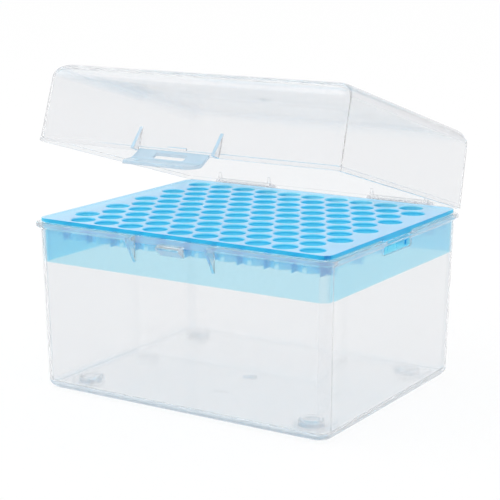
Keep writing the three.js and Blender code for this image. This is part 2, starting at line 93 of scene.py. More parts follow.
def share(name, description, value):
    return FloatProperty(
        name=name, description=description, default=value, min=0, max=1, subtype="FACTOR",
    )


def colour(name, description, red, green, blue):
    return FloatVectorProperty(
        name=name, description=description, default=(red, green, blue),
        size=3, min=0, max=1, subtype="COLOR",
    )


def plain(name, description, value):
    return FloatProperty(name=name, description=description, default=value)


class RackSizes(bpy.types.PropertyGroup):
    columns: IntProperty(name="Columns", description="Holes in a row", default=10, min=1)
    rows: IntProperty(name="Rows", description="Rows of holes", default=10, min=1)
    pitch: length("Pitch", "Distance between the middles of neighbouring holes", 10)
    hole: length("Hole", "Diameter of a hole", 8.2)
    hole_edge: length("Hole edge", "Radius of the rounded edge round each hole", 0.45)
    collar_wall: length("Collar wall", "Thickness of the tube under each hole", 0.65)
    collar_depth: length("Collar depth", "Depth of the tubes below the plate's top", 6.4)
    rib_width: length("Rib width", "Thickness of the ribs between skirt and tubes", 0.9)
    rib_depth: length("Rib depth", "Depth of the ribs below the plate's top", 6.9)
    rib_reach: length("Rib reach", "How near the ribs come to the line of the holes", 1)
    plate: length("Plate", "Thickness of the plate", 1)
    rim: length("Rim", "Thickness of the rim that rests on the base", 1)
    rim_corner: length("Rim corner", "Radius of the rim's corners", 3.4)
    lip_height: length("Lip height", "Height of the raised line round the rim", 0.3)
    lip_width: length("Lip width", "Width of the raised line round the rim", 1)
    lip_slope: length("Lip slope", "Width of the slope from the lip to the plate", 0.6)
    overhang: length("Overhang", "How far the rim stands out from the skirt", 1)
    skirt_wall: length("Skirt wall", "Thickness of the skirt", 1.1)
    skirt_corner: length("Skirt corner", "Radius of the skirt's corners", 3)
    skirt_taper: plain("Skirt taper", "Lean of the skirt inwards for each unit down", 0.02)
    lug: length("Lug", "Length of the lug under the rim on each short side", 20.6)
    lug_drop: length("Lug drop", "Depth of the lug below the rim", 0.8)
    snap: length("Snap bar", "Length of the bar that snaps into the window", 19)
    snap_height: length("Snap height", "Height of the snap bar", 2.1)
    snap_below: length("Snap below rim", "Distance from the rim down to the snap bar", 2.9)
    snap_reach: length("Snap reach", "How far the bar stands into the wall's window", 0.7)


class BaseSizes(bpy.types.PropertyGroup):
    wall: length("Wall", "Thickness of the walls", 1)
    floor: length("Floor", "Thickness of the floor", 1.6)
    taper: plain("Taper", "Lean of the walls inwards for each unit down", 0.0185)
    corner: length("Corner", "Radius of the upright corners", 4)
    foot: length("Foot", "Radius of the edge between walls and floor", 3.1)
    rim_inset: length("Rim inset", "How far the rack's rim stays inside the walls' line", 0.3)
    flange: length("Flange", "How far the flange stands out", 1.5)
    flange_corner: length("Flange corner", "Radius of the flange's corners", 5.2)
    flange_height: length("Flange height", "Thickness of the flange", 1.2)
    flange_slope: length("Flange slope", "Height of the slope under the flange", 1)
    edge: length("Edge", "Radius of the small rounded edges", 0.25)
    boss: length("Foot boss", "Diameter of the bosses on the floor", 9)
    boss_height: length("Boss height", "Height of the bosses above the floor", 2.2)
    recess: length("Recess", "Diameter of the recess under each boss", 6.2)
    recess_depth: length("Recess depth", "Depth of the recess under each boss", 2.4)
    boss_inset: length("Boss inset", "Distance of the bosses from the walls", 12.8)
    window_gap: length("Window gap", "Room round the snap bar in its window", 0.45)


class LidSizes(bpy.types.PropertyGroup):
    height: length("Height", "Height of the lid", 27.5)
    wall: length("Wall", "Thickness of the walls", 0.9)
    top: length("Top", "Thickness of the top", 1.2)
    taper: plain("Taper", "Lean of the walls inwards for each unit up", 0.0258)
    corner: length("Corner", "Radius of the upright corners", 2.3)
    edge: length("Edge", "Radius of the edge between walls and top", 5.4)
    bead: length("Bead", "How far the bead round the rim stands out", 0.15)
    bead_height: length("Bead height", "Height of the bead round the rim", 1.3)
    clearance: length("Clearance", "Room between the rack's rim and the lid", 0.4)
    gate: length("Gate", "Diameter of the swelling left by the moulding gate", 8)
    gate_height: length("Gate height", "Height of that swelling", 0.4)


class LatchSizes(bpy.types.PropertyGroup):
    gusset: length("Gusset", "Thickness of the upright gussets", 1.2)
    gusset_x: length("Gusset place", "Distance of the gussets from their middle", 15.6)
    shift: length("Shift", "Distance of the gussets' middle from the box's middle", -0.45)
    lid_reach: length("Lid gusset reach", "Length of the lid's gussets outwards", 3.6)
    lid_rise: length("Lid gusset height", "Height of the lid's gussets", 8)
    base_reach: length("Base gusset reach", "Length of the base's gussets outwards", 4.2)
    base_drop: length("Base gusset height", "Height of the base's gussets", 8.9)
    tab_room: length("Tab room", "Room between the tab and the right gusset", 2.5)
    tab_out: length("Tab reach", "Length of the tab outwards", 9.4)
    tab_down: length("Tab drop", "Drop of the tab's tip", 5.6)
    knee_out: length("Knee reach", "Distance of the tab's bend outwards", 3.8)
    knee_down: length("Knee drop", "Drop of the tab's bend", 3.9)
    thickness: length("Tab thickness", "Thickness of the tab at its tip", 1.1)
    slot: length("Slot", "Length of the tab's slot", 12.2)
    slot_width: length("Slot width", "Width of the tab's slot", 2.4)
    slot_near: length("Slot place", "Distance of the slot from the lid", 1.2)
    ridge: length("Ridge", "Length of the ridge above the slot", 7.4)
    catch: length("Catch", "Length of the catch on the base", 9)
    catch_shift: length("Catch shift", "Distance of the catch from the tab's middle", 0.85)
    catch_reach: length("Catch reach", "How far the catch stands out", 3.3)
    catch_drop: length("Catch drop", "Distance from the flange down to the catch", 1.6)
    catch_height: length("Catch height", "Height of the catch", 3.8)


class HingeSizes(bpy.types.PropertyGroup):
    rod: length("Rod", "Radius of the rods on the base", 1.2)
    room: length("Room", "Room between a rod and its clip", 0.35)
    clip_wall: length("Clip wall", "Thickness of the clips", 0.9)
    inner: length("Inner end", "Distance of a clip's inner end from the middle", 22)
    outer: length("Outer end", "Distance of a clip's outer end from the middle", 44)
    ear: length("Ear", "Thickness of the ears that hold the rods", 1.1)
    ear_radius: length("Ear radius", "Radius of the ears round the rods", 2.1)
    ear_drop: length("Ear drop", "Height of the ears where they meet the wall", 5.6)
    gusset_rise: length("Gusset height", "Height of the gussets on the clips", 3.9)


class ClearPlastic(bpy.types.PropertyGroup):
    tint: colour("Tint", "Colour of the clear plastic", 0.9, 0.9, 0.91)
    pass_through: share("Clearness", "Share of the light that goes through", 0.9)
    roughness: share("Roughness", "Roughness of the moulded surface", 0.08)
    depth_tint: colour("Depth tint", "Colour that light takes on inside", 0.47, 0.49, 0.53)
    depth: plain("Depth", "How quickly light is taken up inside, per metre", 36)
    haze: share("Haze", "Strength of the cloudy flow marks", 0.5)
    leak: share("Leak", "Share of the light inside that a face lets straight out", 0.25)
    edge_on: share("Edge on", "How frosted the rounded edges look where they turn away", 0.85)
    # The frost's blue is partly the plastic's own thickness and partly painted blue light thrown
    # from the rack.
    frost: colour("Frost", "Colour of the frosted latch tab", 0.47, 0.62, 0.74)
    bloom: colour("Bloom", "Colour of the frosted edges and hinge parts", 0.72, 0.73, 0.76)


class BluePlastic(bpy.types.PropertyGroup):
    tint: colour("Tint", "Colour of the blue plastic", 0.19, 0.78, 0.96)
    top_tint: colour("Top tint", "Colour of the plate's matte top", 0.42, 0.75, 0.97)
    skirt: share("Skirt", "Share of the light that the smooth skirt scatters", 0.12)
    tubes: share("Tubes", "The same for the tubes and the holes' walls", 0.6)
    ribs: share("Ribs", "The same for the ribs", 0.9)
    rim: share("Rim", "The same for the rim's outer side", 0.7)
    # Painted shade: by the plate the tubes' walls take this deeper tint, which stands in for the
    # shade that falls there as well as for the thicker plastic; the ribs and the rim take it for
    # their thickness.
    thick_and_shaded_tint: colour(
        "Thick tint", "Colour of the ribs, the rim and the holes' walls at the plate",
        0.015, 0.48, 0.77,
    )
    # Painted light: the tubes' walls further down, where they are also thinner, take this lighter
    # tint as painted light, and the holes' rounded edges take it as a painted highlight.
    thin_and_lit_tint: colour("Thin tint", "Colour of the holes' walls further down", 0.27, 0.86, 1)
    top: share("Top", "The same for the plate's matte top", 0.85)
    fade: share("Fade", "Share of the tubes' depth over which their walls turn lighter", 0.27)
    edge_on: share("Edge on", "The same for any surface seen edge on", 0.7)
    roughness: share("Roughness", "Roughness of the moulded surface", 0.15)
    depth_tint: colour("Depth tint", "Colour that light takes on inside", 0.03, 0.79, 0.975)
    depth: plain("Depth", "How quickly light is taken up inside, per metre", 420)
    haze: share("Haze", "Strength of the cloudy flow marks", 0.5)


class StageLook(bpy.types.PropertyGroup):
    daylight: plain("Daylight", "Strength of the light from all round", 1)
    lamp: plain("Lamp", "Power of the soft lamp, in watts", 3)
    floor: share("Floor", "Brightness of the floor", 0.95)
    glow: share("Floor glow", "How far the floor is seen as plain white", 0.88)


# ---------- shapes worked out with numpy ----------


class Shape:
    """A closed body or several: points in metres, and faces as lists of point numbers."""

    def __init__(self, points, faces):
        self.points = points
        self.faces = faces


def together(shapes):
    """Several separate bodies as one shape: points are stacked and face numbers moved along."""
    starts = np.cumsum([0] + [len(shape.points) for shape in shapes[:-1]])
    faces = [ring + start for start, shape in zip(starts, shapes) for ring in shape.faces]
    return Shape(np.concatenate([shape.points for shape in shapes]), faces)


def unit(lines):
    """Each line divided by its own length."""
    return lines / np.maximum(np.linalg.norm(lines, axis=1, keepdims=True), 1e-12)


def softened(corners, radii, steps=4):
    """A line through corners, each turned into an arc of its radius.
    An arc starts r / tan(half the angle) from its corner, and swings about a centre that lies
    r / sin(half the angle) along the line that halves the angle. A corner of radius 0 stays."""
    corners = np.asarray(corners, float)
    radii = np.asarray(radii, float)
    before = unit(np.roll(corners, 1, axis=0) - corners)
    after = unit(np.roll(corners, -1, axis=0) - corners)
    half = np.arccos(np.clip((before * after).sum(1), -1, 1)) / 2
    straight = (radii < 1e-9) | (half > math.pi / 2 - 1e-3) | (half < 1e-3)
    half = np.where(straight, math.pi / 4, half)
    centre = corners + unit(before + after) * (radii / np.sin(half))[:, None]
    reach = (radii / np.tan(half))[:, None]
    first = corners + before * reach - centre
    last = corners + after * reach - centre
    turn = (math.pi - 2 * half)[:, None, None]
    along = np.linspace(0, 1, steps + 1)[None, :, None]
    arc = np.sin((1 - along) * turn) * first[:, None] + np.sin(along * turn) * last[:, None]
    arc = centre[:, None] + arc / np.sin(turn)
    arc[straight] = corners[straight][:, None]
    keep = np.ones(arc.shape[:2], bool)
    keep[straight, 1:] = False
    return arc[keep]


def closed_rings(x, y, z):
    """Bodies made of rings of points, from arrays of (body, ring, point). Neighbouring rings
    are joined by four-sided faces, and the first and the last ring are closed flat."""
    points = np.stack(np.broadcast_arrays(x, y, z), -1)
    bodies, rings, count = points.shape[:3]
    starts = (np.arange(bodies) * rings * count)[:, None, None]
    ring, place = np.meshgrid(np.arange(rings - 1), np.arange(count), indexing="ij")
    following = (place + 1) % count
    low, high = ring * count, (ring + 1) * count
    sides = np.stack([low + place, low + following, high + following, high + place], -1)
    around = np.arange(count)
    return Shape(points.reshape(-1, 3), [
        (sides.reshape(-1, 4) + starts).reshape(-1, 4),
        around[::-1] + starts[:, 0],
        around + (rings - 1) * count + starts[:, 0],
    ])


def loft(width, depth, profile, steps=10):
    """A solid through rounded rectangles, one for each point of the profile.
    A profile point is (inset, height, corner radius). Its ring has the half sizes less the
    inset, and each point sits on a circle of the corner radius about a corner's centre."""
    inset, height, corner = np.asarray(profile, float).T[:, None, :, None]
    quarter = np.repeat(np.arange(4), steps + 1)
    angle = (quarter + np.tile(np.linspace(0, 1, steps + 1), 4)) * math.pi / 2
    sign_x = np.array([1, -1, -1, 1])[quarter]
    sign_y = np.array([1, 1, -1, -1])[quarter]
    x = sign_x * (width / 2 - inset - corner) + corner * np.cos(angle)
    y = sign_y * (depth / 2 - inset - corner) + corner * np.sin(angle)
    return closed_rings(x, y, height)


def lathe(profile, x, y, sides=ROUND_SIDES):
    """Round posts: a profile of (radius, height) points turned about an upright line through
    each centre, x + r cos a, y + r sin a."""
    radius, height = np.asarray(profile, float).T[:, None, :, None]
    x, y = (np.ravel(centres)[:, None, None] for centres in (x, y))
    angle = np.arange(sides) * 2 * math.pi / sides
    return closed_rings(x + radius * np.cos(angle), y + radius * np.sin(angle), height)


def prism(outline, low, high, axis="X"):
    """An outline carried straight along an axis from low to high.
    Along X the outline holds (y, z) points, and along Z it holds (x, y) points."""
    u, v = np.asarray(outline, float).T
    if (u * np.roll(v, -1) - np.roll(u, -1) * v).sum() < 0:
        u, v = u[::-1], v[::-1]
    w = np.array([low, high], float)[None, :, None]
    return closed_rings(w, u, v) if axis == "X" else closed_rings(u, v, w)


def block(low, high, radius=0):
    """A box whose four edges along X are rounded."""
    corners = [(low[1], low[2]), (high[1], low[2]), (high[1], high[2]), (low[1], high[2])]
    return prism(softened(corners, [radius] * 4, 3), low[0], high[0])


def hinge_arc(radius, start, end, steps=24):
    """Points on a circle about the hinge line, from one angle in degrees to another."""
    angle = np.radians(np.linspace(start, end, steps + 1))
    y, z = HINGE_PLACE.y + radius * np.cos(angle), HINGE_PLACE.z + radius * np.sin(angle)
    return np.stack([y, z], -1)


def span(side, near, far):
    """From the left end to the right end of a reach, on the right (1) or mirrored (-1)."""
    return (near, far) if side > 0 else (-far, -near)


def side_prisms(outline, *reaches):
    """An outline carried along each reach of X on the right, and then the same on the left."""
    return together([prism(outline, *span(side, *reach)) for side in (1, -1) for reach in reaches])


def side_blocks(reach, front, back, low, high, radius=0):
    """A block along a reach of X on the right, and the same on the left."""
    return together([
        block((left, front, low), (right, back, high), radius)
        for left, right in (span(1, *reach), span(-1, *reach))
    ])


def mesh_of(name, shape):
    """A shape's points and faces as a mesh."""
    mesh = bpy.data.meshes.new(name)
    mesh.from_pydata(
        shape.points.tolist(), [], [face for faces in shape.faces for face in faces.tolist()]
    )
    mesh.validate()
    return mesh


def add_object(name, mesh):
    piece = bpy.data.objects.new(name, mesh)
    bpy.context.scene.collection.objects.link(piece)
    return piece


def settle(piece):
    """Work a piece's modifiers into its mesh."""
    old = piece.data
    depsgraph = bpy.context.evaluated_depsgraph_get()
    piece.data = bpy.data.meshes.new_from_object(piece.evaluated_get(depsgraph))
    piece.modifiers.clear()
    bpy.data.meshes.remove(old)
    piece.data.name = piece.name


def fused(name, body, steps):
    """One closed mesh from a body and the shapes that are joined to it or cut out of it, in
    order. Each step is (operation, shape, soft), and a soft shape gets small rounded edges
    first."""
    piece = add_object(name, mesh_of(name, body))
    tools = []
    for operation, shape, soft in steps:
        tool = add_object("tool", mesh_of("tool", shape))
        if soft:
            rounding = tool.modifiers.new("Soft edges", "BEVEL")
            rounding.width = SOFT_EDGE
            rounding.segments = 2
            rounding.limit_method = "ANGLE"
            rounding.angle_limit = SOFT_ANGLE
        change = piece.modifiers.new("Join or cut", "BOOLEAN")
        change.operation = operation
        change.solver = "MANIFOLD"
        change.object = tool
        tools.append(tool)
    settle(piece)
    for tool in tools:
        bpy.data.meshes.remove(tool.data)
    return piece


def shape_of(piece):
    """A finished helper object back as a shape, and the object taken away."""
    mesh = piece.data
    faces = [np.array([list(face.vertices)]) for face in mesh.polygons]
    shape = Shape(read(mesh.vertices, "co"), faces)
    bpy.data.meshes.remove(mesh)
    return shape


def give(piece, material):
    """Smooth shading that keeps flat faces flat and edges sharp past an angle, and a material."""
    piece.data.shade_smooth()
    piece.data.set_sharp_from_angle(angle=SHARP_ANGLE)
    weight = piece.modifiers.new("Flat faces stay flat", "WEIGHTED_NORMAL")
    weight.mode = "FACE_AREA"
    weight.weight = 50
    weight.keep_sharp = True
    settle(piece)
    mesh = piece.data
    mesh.materials.clear()
    mesh.materials.append(material)
    mesh.polygons.foreach_set("material_index", np.zeros(len(mesh.polygons), np.int32))


def read(items, field):
    """A field of three numbers for every item, one row each."""
    values = np.empty(len(items) * 3)
    items.foreach_get(field, values)
    return values.reshape(-1, 3)


def is_rounded(normal):
    """Whether a face leans away from all three axes, so that it belongs to a rounded edge."""
    return np.abs(normal).max(1) < ROUNDED


def paint(piece, name, values, each="FACE"):
    """One number for each face or point, which a finish reads by its name."""
    layer = piece.data.attributes.new(name, "FLOAT", each)
    layer.data.foreach_set("value", values.astype(np.float32))


# ---------- places that several pieces share ----------


class Places:
    """Heights and widths that follow from the frame and the sizes."""

    def __init__(self, tools):
        rack, base, lid = tools.rack, tools.base, tools.lid
        latch, hinge = tools.latch, tools.hinge
        self.gap = 0.3 * MM
        self.plate_top = RACK_HIGH.z - rack.lip_height
        self.rim_bottom = self.plate_top - rack.rim
        self.skirt_bottom = RACK_LOW.z
        self.rim_width = RACK_HIGH.x - RACK_LOW.x
        self.rim_depth = RACK_HIGH.y - RACK_LOW.y
        self.base_top = self.rim_bottom - self.gap
        self.base_width = self.rim_width + 2 * base.rim_inset
        self.base_depth = self.rim_depth + 2 * base.rim_inset
        self.lid_rim = self.base_top + self.gap
        self.lid_width = self.rim_width + 2 * (lid.clearance + lid.wall)
        self.lid_depth = self.rim_depth + 2 * (lid.clearance + lid.wall)
        self.lid_wall_y = -self.lid_depth / 2
        self.base_wall_y = -self.base_depth / 2
        self.gusset_left = latch.shift - latch.gusset_x
        self.gusset_right = latch.shift + latch.gusset_x
        self.tab_left = self.gusset_left + latch.gusset / 2 + self.gap
        self.tab_right = self.gusset_right - latch.gusset / 2 - latch.tab_room
        self.tab_middle = (self.tab_left + self.tab_right) / 2
        self.catch_middle = self.tab_middle + latch.catch_shift
        self.half_gusset = latch.gusset / 2
        self.clip = (hinge.inner - self.half_gusset, hinge.outer + self.half_gusset)
        self.clip_room = (self.clip[0] - self.gap, self.clip[1] + self.gap)
        self.clip_inside = hinge.rod + hinge.room
        self.clip_outside = self.clip_inside + hinge.clip_wall
        self.clip_tail = 3.4 * MM
        self.mid_skirt_x = self.rim_width / 2 - rack.overhang - rack.skirt_wall / 2
        self.mid_skirt_y = self.rim_depth / 2 - rack.overhang - rack.skirt_wall / 2
        side = self.base_width / 2
        self.side_wall = (side - base.wall - MM, side + base.flange + MM)


def hole_places(rack):
    """Middles of the holes: even rows are moved half a pitch, and rows are closer by sqrt(3)/2."""
    row, column = np.indices((rack.rows, rack.columns))
    stagger = np.where(row % 2 == 0, 0.5, 0)
    x = (column + stagger - (rack.columns - 0.5) / 2) * rack.pitch
    y = (row - (rack.rows - 1) / 2) * rack.pitch * math.sqrt(3) / 2
    return x, y


# ---------- the rack ----------


def rack_shell(rack, places):
    """Plate, rim and skirt: the rack before its holes."""
    top, rim, skirt = places.plate_top, places.rim_bottom, rack.overhang
    plate_bottom = top - rack.plate
    inside = skirt + rack.skirt_wall
    lean = rack.skirt_taper * (plate_bottom - places.skirt_bottom)
    inner_corner = rack.skirt_corner - rack.skirt_wall
    lip = rack.lip_width
    slope = lip + rack.lip_slope
    closing = 15 * MM
    corners = [
        (closing, plate_bottom, inner_corner),
        (inside, plate_bottom, inner_corner),
        (inside + lean, places.skirt_bottom, inner_corner),
        (skirt + lean, places.skirt_bottom, rack.skirt_corner),
        (skirt, rim, rack.skirt_corner),
        (0, rim, rack.rim_corner),
        (0, top + rack.lip_height, rack.rim_corner),
        (lip, top + rack.lip_height, rack.rim_corner - lip),
        (slope, top, rack.rim_corner - slope),
        (closing, top, rack.rim_corner - slope),
    ]
    radii = np.array([0, 0.4, 0.15, 0.3, 0.15, 0.2, 0.25, 0.2, 0.3, 0]) * MM
    return loft(places.rim_width, places.rim_depth, softened(corners, radii))


def hole_cutters(rack, places):
    """Each hole widens at the top along a quarter circle, cut a little short of flat."""
    radius, edge, top = rack.hole / 2, rack.hole_edge, places.plate_top
    angle = np.radians(np.linspace(0, 78, 7))
    flare = np.stack([radius + edge * (1 - np.cos(angle)), top - edge * (1 - np.sin(angle))], -1)
    foot = (radius, top - rack.collar_depth - MM)
    return lathe([foot, *flare, (flare[-1, 0] + 0.1 * MM, top + MM)], *hole_places(rack))


def collars(rack, places):
    """The tube under each hole, with a rounded foot."""
    radius = rack.hole / 2 + rack.collar_wall
    bottom = places.plate_top - rack.collar_depth
    profile = [
        (radius - 0.3 * MM, bottom),
        (radius - 0.08 * MM, bottom + 0.1 * MM),
        (radius, bottom + 0.35 * MM),
        (radius, places.plate_top - rack.plate / 2),
    ]
    return lathe(profile, *hole_places(rack))


def rack_ribs(rack, places):
    """Ribs from the skirt to the nearest tubes, at the ends of the rows and front and back."""
    half = rack.rib_width / 2
    low, high = places.plate_top - rack.rib_depth, places.plate_top - rack.plate / 2
    x, y = hole_places(rack)
    end = (rack.columns - 0.5) * rack.pitch / 2 + rack.hole / 2
    ribs = []
    for row in range(rack.rows):
        start, stop = span(1 if row % 2 == 0 else -1, end, places.mid_skirt_x)
        ribs.append(block((start, y[row, 0] - half, low), (stop, y[row, 0] + half, high)))
    for row, side in ((0, -1), (rack.rows - 1, 1)):
        start, stop = span(side, abs(y[row, 0]) + rack.rib_reach, places.mid_skirt_y)
        for place in np.append(x[row], x[row, -1] + rack.pitch) - rack.pitch / 2:
            ribs.append(block((place - half, start, low), (place + half, stop, high)))
    return together(ribs)


def rack_lugs(rack, places):
    """The lug under the rim on each short side."""
    reach, half = (places.mid_skirt_x, places.rim_width / 2), rack.lug / 2
    low, high = places.rim_bottom - rack.lug_drop, places.plate_top - rack.rim / 2
    return side_blocks(reach, -half, half, low, high, 0.25 * MM)


def snap_bars(rack, places):
    """A bar on each short side with four teeth along it. A tooth is (start, end, lift), in
    shares of half the bar's length and of its height. The end teeth are as high as the bar,
    and the middle ones end above its foot."""
    inside = places.mid_skirt_x
    outside = places.rim_width / 2 - rack.overhang + places.gap + rack.snap_reach
    high = places.rim_bottom - rack.snap_below
    half, foot = rack.snap / 2, high - rack.snap_height
    teeth = ((-1, -0.84, 0), (-0.72, -0.14, 0.3), (-0.04, 0.5, 0.3), (0.66, 1, 0))
    shapes = []
    for side in (1, -1):
        left, right = span(side, inside, outside - 0.5 * MM)
        shapes.append(block((left, -half, foot), (right, half, high), 0.2 * MM))
        left, right = span(side, inside, outside)
        for start, stop, lift in teeth:
            low = foot + lift * rack.snap_height
            shapes.append(block((left, start * half, low), (right, stop * half, high), 0.25 * MM))
    return shapes


def paint_rack(piece, rack, look, places):
    """What the finish reads: the share of light that each face scatters, which faces are the
    matte top, the holes' rounded edges (which get a painted highlight), the ribs or the rim, and
    how deep each point lies as a share of the tubes' depth, which sets the painted shade on the
    tubes' walls."""
    middle, normal = read(piece.data.polygons, "center"), read(piece.data.polygons, "normal")
    (x, y, z), (lean_x, lean_y, lean_z) = np.abs(middle).T, normal.T
    half_width, half_depth = places.rim_width / 2, places.rim_depth / 2
    top = (lean_z > 0.8) & (z > places.plate_top - 0.2 * MM)
    inset = rack.overhang + rack.skirt_wall + 0.05 * MM
    inner = (x < half_width - inset) & (y < half_depth - inset)
    # The holes' rounded edges, which the finish gives a painted highlight.
    edge = inner & ~top & (lean_z > 0.05) & (z > places.plate_top - rack.hole_edge)
    tubes = np.abs(hole_places(rack)[1]).max() + rack.rib_reach
    ends = (rack.columns - 0.5) * rack.pitch / 2 + rack.hole / 2 + rack.collar_wall
    flat = np.abs(lean_z) < 0.5
    crosswise, lengthwise = np.abs(lean_x) > 0.99, np.abs(lean_y) > 0.99
    ribs = inner & flat & (z < places.plate_top - rack.plate)
    ribs &= (crosswise & (y > tubes)) | (lengthwise & (x > ends))
    rim = flat & (z > places.rim_bottom - rack.lug_drop)
    rim &= (x > half_width - 0.3 * MM) | (y > half_depth - 0.3 * MM)
    shares = [look.top, look.ribs, look.rim, look.tubes]
    paint(piece, "Top", top)
    paint(piece, "Edge", edge)
    paint(piece, "Thick", ribs | rim)
    paint(piece, "Scatter", np.select([top, ribs, rim, inner], shares, look.skirt))
    height = read(piece.data.vertices, "co")[:, 2]
    paint(piece, "Depth", (places.plate_top - height) / rack.collar_depth, "POINT")


def build_rack(tools):
    rack, places = tools.rack, Places(tools)
    piece = fused("tip_rack_moulding", rack_shell(rack, places), [
        ("UNION", rack_lugs(rack, places), True),
        *[("UNION", shape, True) for shape in snap_bars(rack, places)],
        ("UNION", rack_ribs(rack, places), False),
        ("UNION", collars(rack, places), False),
        ("DIFFERENCE", hole_cutters(rack, places), False),
    ])
    paint_rack(piece, rack, tools.blue, places)
    return piece


# ---------- the base ----------


def base_shell(base, places):
    """Floor, walls and flange: the base before its fittings."""
    top = places.base_top
    flange_bottom = top - base.flange_height
    slope_bottom = flange_bottom - base.flange_slope
    inner_corner = base.corner - base.wall
    closing = 12 * MM
    corners = [
        (closing, 0, base.corner),
        (base.taper * top, 0, base.corner),
        (base.taper * (top - slope_bottom), slope_bottom, base.corner),
        (-base.flange, flange_bottom, base.flange_corner),
        (-base.flange, top, base.flange_corner),
        (base.wall, top, inner_corner),
        (base.wall + base.taper * (top - base.floor), base.floor, inner_corner),
        (closing, base.floor, inner_corner),
    ]
    radii = [0, base.foot, 0.6 * MM, *[base.edge] * 3, base.foot - base.wall, 0]
    return loft(places.base_width, places.base_depth, softened(corners, radii, 10), 24)


def foot_posts(base, places, diameter, low, high):
    """An upright post with a rounded top edge at each of the four feet."""
    x = places.base_width / 2 - base.boss_inset
    y = places.base_depth / 2 - base.boss_inset
    radius = diameter / 2
    line = softened([(0, low), (radius, low), (radius, high), (0, high)], [0, 0, 1.4 * MM, 0], 8)
    return lathe(line[1:-1], (x, -x, -x, x), (y, y, -y, -y), 48)


def gate_disc(lid, surface, sunk, upwards=1):
    """A shallow round swelling on a flat face: its height falls from the middle to the edge as
    the square of a cosine. It starts sunk below the face."""
    share_out = np.linspace(1, 0.04, 16)
    swell = lid.gate_height * np.cos(share_out * math.pi / 2) ** 2 - 0.01 * MM
    radius = lid.gate / 2 * share_out
    profile = [(radius[0], surface - upwards * sunk), *zip(radius, surface + upwards * swell)]
    return lathe(profile[::upwards], 0, 0, 48)


def latch_gussets(outline, places):
    """The same upright gusset on both sides of the tab."""
    half = places.half_gusset
    return together([
        prism(outline, x - half, x + half) for x in (places.gusset_left, places.gusset_right)
    ])


def base_gussets(base, latch, places):
    """Under the flange: level at the top, and sloping back to the wall below."""
    top, wall = places.base_top, places.base_wall_y
    return latch_gussets([
        (wall + base.wall / 2, top),
        (wall + base.wall / 2, top - latch.base_drop),
        (wall, top - latch.base_drop),
        (wall - latch.base_reach, top - base.flange_height),
        (wall - latch.base_reach, top),
    ], places)


def catch_nub(base, latch, places):
    """The catch under the flange, which the tab's slot drops over."""
    top, wall = places.base_top - latch.catch_drop, places.base_wall_y
    nose = wall - latch.catch_reach
    outline = softened([
        (wall + base.wall / 2, top),
        (wall + base.wall / 2, top - latch.catch_height),
        (wall, top - latch.catch_height),
        (nose, top - 1.2 * MM),
        (nose, top - 0.6 * MM),
        (nose + 1.2 * MM, top),
    ], np.array([0, 0, 0, 0.25, 0.25, 0.4]) * MM)
    middle, half = places.catch_middle, latch.catch / 2
    return prism(outline, middle - half, middle + half)


def hinge_ears(base, hinge, places):
    """Webs from the back wall, each ending in a round eye about the hinge line."""
    wall, z = places.base_depth / 2 - base.wall / 2, HINGE_PLACE.z
    outline = [(wall, z), (wall, z - hinge.ear_drop), *hinge_arc(hinge.ear_radius, -45, 180)]
    inner, outer = places.clip_room
    return side_prisms(outline, (inner - hinge.ear, inner), (outer, outer + hinge.ear))


def hinge_rods(hinge, places):
    """The round rod between each pair of ears."""
    inner, outer = places.clip_room
    outline = hinge_arc(hinge.rod, 0, 360, ROUND_SIDES)[:-1]
    return side_prisms(outline, (inner - hinge.ear / 2, outer + hinge.ear / 2))


def flange_cuts(base, places):
    """Room in the flange behind the lid's tab, and round each clip."""
    low = places.base_top - base.flange_height - 2 * base.flange_slope
    high = places.base_top + MM
    outward, half = places.base_depth / 2 + 2 * base.flange, places.half_gusset
    left, right = places.gusset_left + half, places.gusset_right - half
    front = block((left, -outward, low), (right, places.base_wall_y, high))
    back = side_blocks(places.clip_room, places.base_depth / 2, outward, low, high)
    return together([front, back])


def wall_windows(base, rack, places):
    """The window in each short wall for the snap bar."""
    half = rack.snap / 2 + base.window_gap
    high = places.rim_bottom - rack.snap_below + base.window_gap
    low = high - rack.snap_height - 2 * base.window_gap
    return side_blocks(places.side_wall, -half, half, low, high, 0.4 * MM)


def rim_notches(rack, places):
    """The notch in each short side of the mouth for the rim's lug."""
    half = rack.lug / 2 + places.gap
    low, high = places.rim_bottom - rack.lug_drop - places.gap, places.base_top + MM
    return side_blocks(places.side_wall, -half, half, low, high, 0.25 * MM)


def paint_frost(piece, kinds, rounded, look):
    """What the finish reads, from one (faces, frosted, leak, bloom) for each kind of face, the
    first that fits: how frosted a face is, how much light it lets straight out from inside, how
    far its frosting is grey, and whether it belongs to a rounded edge."""
    faces, *numbers = zip(*kinds)
    rest = 0, look.leak, 1
    for name, values, default in zip(("Frosted", "Leak", "Bloom"), numbers, rest):
        paint(piece, name, np.select(faces, values, default))
    paint(piece, "Rounded", rounded)


